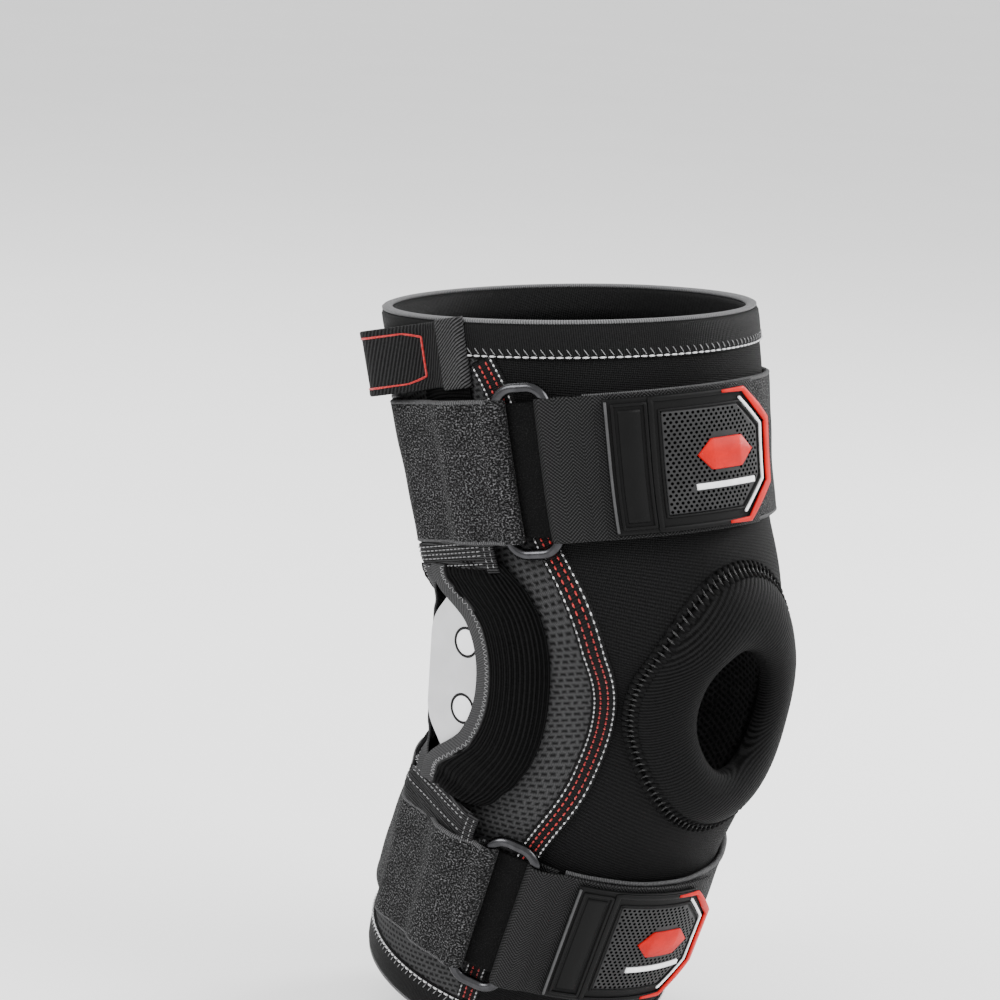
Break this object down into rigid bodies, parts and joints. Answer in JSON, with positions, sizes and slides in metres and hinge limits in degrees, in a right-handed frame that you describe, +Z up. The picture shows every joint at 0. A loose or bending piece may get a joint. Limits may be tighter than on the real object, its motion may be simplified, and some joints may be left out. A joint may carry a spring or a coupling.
{
  "type": "hinged knee brace",
  "caption": "Knee brace: a sleeve with a padded kneecap opening, geared side hinges, and two ring straps with peel-back ends.",
  "frame": {"origin": "on the flexion axis, midway between the lateral and medial hinges and midway between the two pivots of each hinge", "axes": "+Z up through both pivots towards the thigh, -Y forward out of the kneecap, -X the outer side of the right leg"},
  "size_m": [0.1496, 0.1723, 0.2811],
  "materials": {
    "neoprene": "black nylon jersey on neoprene, soft sheen",
    "mesh_knit": "dark grey perforated spacer mesh",
    "binding_tape": "folded jersey binding, matte",
    "pad_jersey": "black jersey over foam",
    "loop_pile": "brushed loop pile, matte charcoal",
    "ring_steel": "black lacquered wire, glossy",
    "woven_elastic": "herringbone woven elastic",
    "hook_tape": "black moulded hooks on tape",
    "tab_rubber": "moulded dark grey rubber with a dot grid",
    "red_rubber": "red rubber, satin",
    "hinge_plate": "light grey powder coat, satin",
    "rivet_steel": "satin steel",
    "washer_nylon": "natural nylon",
    "arm_aluminium": "satin anodised",
    "ribbed_elastic": "ribbed elastic cloth",
    "webbing": "ribbed webbing"
  },
  "bodies": {
    "knee": {"knee_front_panel": "neoprene", "patella_pad": "pad_jersey", "upper_flex_panel": "mesh_knit", "lower_flex_panel": "mesh_knit", "lateral_inner_plate": "hinge_plate", "lateral_outer_plate": "hinge_plate", "lateral_rivets": "rivet_steel", "lateral_washers": "washer_nylon", "lateral_stop_pin": "rivet_steel", "lateral_pocket_front": "ribbed_elastic", "lateral_pocket_rear": "ribbed_elastic", "medial_inner_plate": "hinge_plate", "medial_outer_plate": "hinge_plate", "medial_rivets": "rivet_steel", "medial_washers": "washer_nylon", "medial_stop_pin": "rivet_steel", "medial_pocket_front": "ribbed_elastic", "medial_pocket_rear": "ribbed_elastic"},
    "thigh": {"thigh_front_panel": "neoprene", "thigh_back_panel": "mesh_knit", "thigh_hem_binding": "binding_tape", "pull_tab_loop": "webbing", "pull_tab_anchor": "webbing", "thigh_strap_band": "loop_pile", "lateral_upper_arm": "arm_aluminium", "lateral_upper_pocket_end": "ribbed_elastic", "medial_upper_arm": "arm_aluminium", "medial_upper_pocket_end": "ribbed_elastic"},
    "thigh_ring": {"thigh_strap_ring": "ring_steel"},
    "thigh_strap_end": {"thigh_strap_elastic": "woven_elastic", "thigh_strap_hook_pad": "hook_tape", "thigh_strap_tab": "tab_rubber", "thigh_strap_tab_trim": "red_rubber", "thigh_strap_tab_badge": "red_rubber"},
    "shin": {"shin_front_panel": "neoprene", "shin_back_panel": "mesh_knit", "shin_hem_binding": "binding_tape", "calf_strap_band": "loop_pile", "lateral_lower_arm": "arm_aluminium", "lateral_lower_pocket_end": "ribbed_elastic", "medial_lower_arm": "arm_aluminium", "medial_lower_pocket_end": "ribbed_elastic"},
    "calf_ring": {"calf_strap_ring": "ring_steel"},
    "calf_strap_end": {"calf_strap_elastic": "woven_elastic", "calf_strap_hook_pad": "hook_tape", "calf_strap_tab": "tab_rubber", "calf_strap_tab_trim": "red_rubber", "calf_strap_tab_badge": "red_rubber"}
  },
  "joints": [
    {"name": "upper_pivot", "type": "hinge", "parent": "knee", "child": "thigh", "pos_m": [0, 0, 0.01225], "axis": [1, 0, 0], "range_deg": [-30, 15], "deforming": ["upper_flex_panel", "lateral_pocket_front", "medial_pocket_front"]},
    {"name": "lower_pivot", "type": "hinge", "parent": "knee", "child": "shin", "pos_m": [0, 0, -0.01225], "axis": [1, 0, 0], "range_deg": [-15, 30], "deforming": ["lower_flex_panel", "lateral_pocket_rear", "medial_pocket_rear"]},
    {"name": "thigh_ring_swivel", "type": "hinge", "parent": "thigh", "child": "thigh_ring", "pos_m": [-0.06488, -0.01021, 0.07572], "axis": [0.0529, -0.1779, -0.9826], "range_deg": [0, 20]},
    {"name": "thigh_strap_peel", "type": "hinge", "parent": "thigh_ring", "child": "thigh_strap_end", "pos_m": [-0.05809, -0.0276, 0.07923], "axis": [0.0529, -0.1779, -0.9826], "range_deg": [0, 100]},
    {"name": "calf_ring_swivel", "type": "hinge", "parent": "shin", "child": "calf_ring", "pos_m": [-0.05995, -0.00308, -0.08652], "axis": [-0.009, 0.2889, -0.9573], "range_deg": [0, 20]},
    {"name": "calf_strap_peel", "type": "hinge", "parent": "calf_ring", "child": "calf_strap_end", "pos_m": [-0.05275, -0.01989, -0.09166], "axis": [-0.009, 0.2889, -0.9573], "range_deg": [0, 100]}
  ],
  "couplings": [
    {"joint": "lower_pivot", "follows": "upper_pivot", "ratio": -1}
  ]
}
